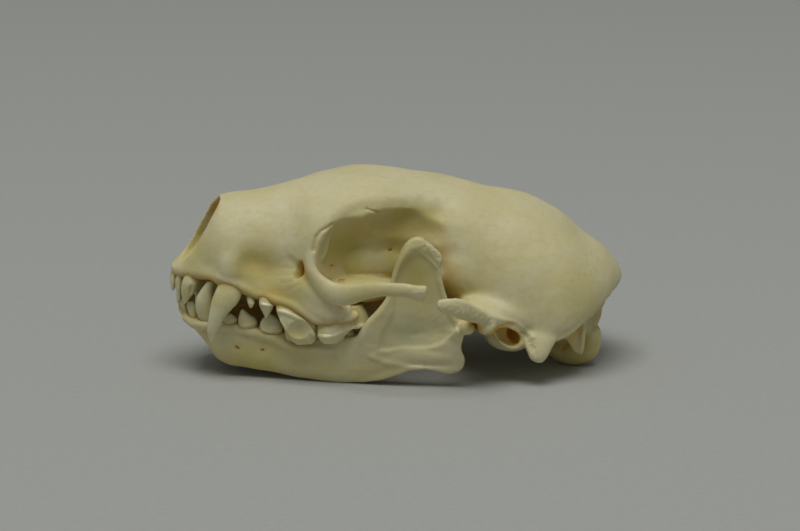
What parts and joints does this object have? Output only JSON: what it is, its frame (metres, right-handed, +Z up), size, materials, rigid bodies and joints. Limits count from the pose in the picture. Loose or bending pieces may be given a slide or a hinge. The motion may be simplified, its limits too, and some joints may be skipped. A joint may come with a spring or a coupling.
{
  "type": "skunk skull",
  "caption": "Life-size skull of a striped skunk with its lower jaws in place, closed and resting on a flat surface.",
  "frame": {"origin": "middle of the skull's bounding box, on the surface it rests on", "axes": "+Z up, -X towards the nose, -Y towards the skull's own left side"},
  "size_m": [0.0754, 0.0456, 0.0329],
  "materials": {
    "bone": "matte, cleaned dry bone, pale cream yellow"
  },
  "bodies": {
    "root": {"cranium": "bone", "mandible_left": "bone", "mandible_right": "bone"}
  },
  "joints": []
}
